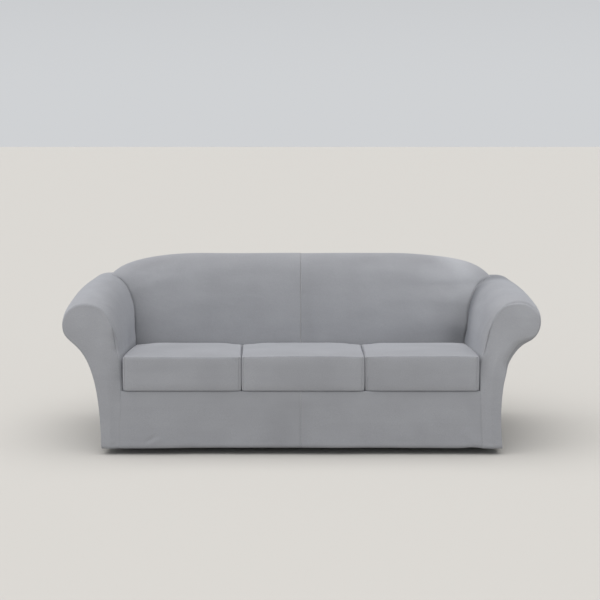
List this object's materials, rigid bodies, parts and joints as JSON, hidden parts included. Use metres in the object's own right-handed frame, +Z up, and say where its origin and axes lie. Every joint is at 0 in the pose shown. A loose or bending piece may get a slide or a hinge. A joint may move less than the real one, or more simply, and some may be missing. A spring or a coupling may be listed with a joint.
{
  "type": "fitted sofa slipcover with separate seat cushion covers",
  "caption": "Fitted stretch slipcover shaped to a three-seat sofa with rolled arms, with three separate seat cushion covers, hollow and open underneath.",
  "frame": {"origin": "on the middle line, against the underside of the back's rounded top at its crest, where the worn cover is held up", "axes": "+X along the seat to the viewer's right, -Y to the front, +Z up"},
  "size_m": [2.1915, 0.9092, 0.8042],
  "materials": {
    "cover_fabric": "soft brushed suede-like stretch knit, grey",
    "cushion_fabric": "soft brushed suede-like stretch knit, grey"
  },
  "bodies": {
    "root": {"arm_left": "cover_fabric", "arm_front_left": "cover_fabric", "back_left": "cover_fabric", "back_outer_left": "cover_fabric", "skirt_left": "cover_fabric", "arm_right": "cover_fabric", "arm_front_right": "cover_fabric", "back_right": "cover_fabric", "back_outer_right": "cover_fabric", "skirt_right": "cover_fabric", "seat_deck": "cover_fabric", "cushion_left": "cushion_fabric", "cushion_middle": "cushion_fabric", "cushion_right": "cushion_fabric"}
  },
  "joints": []
}
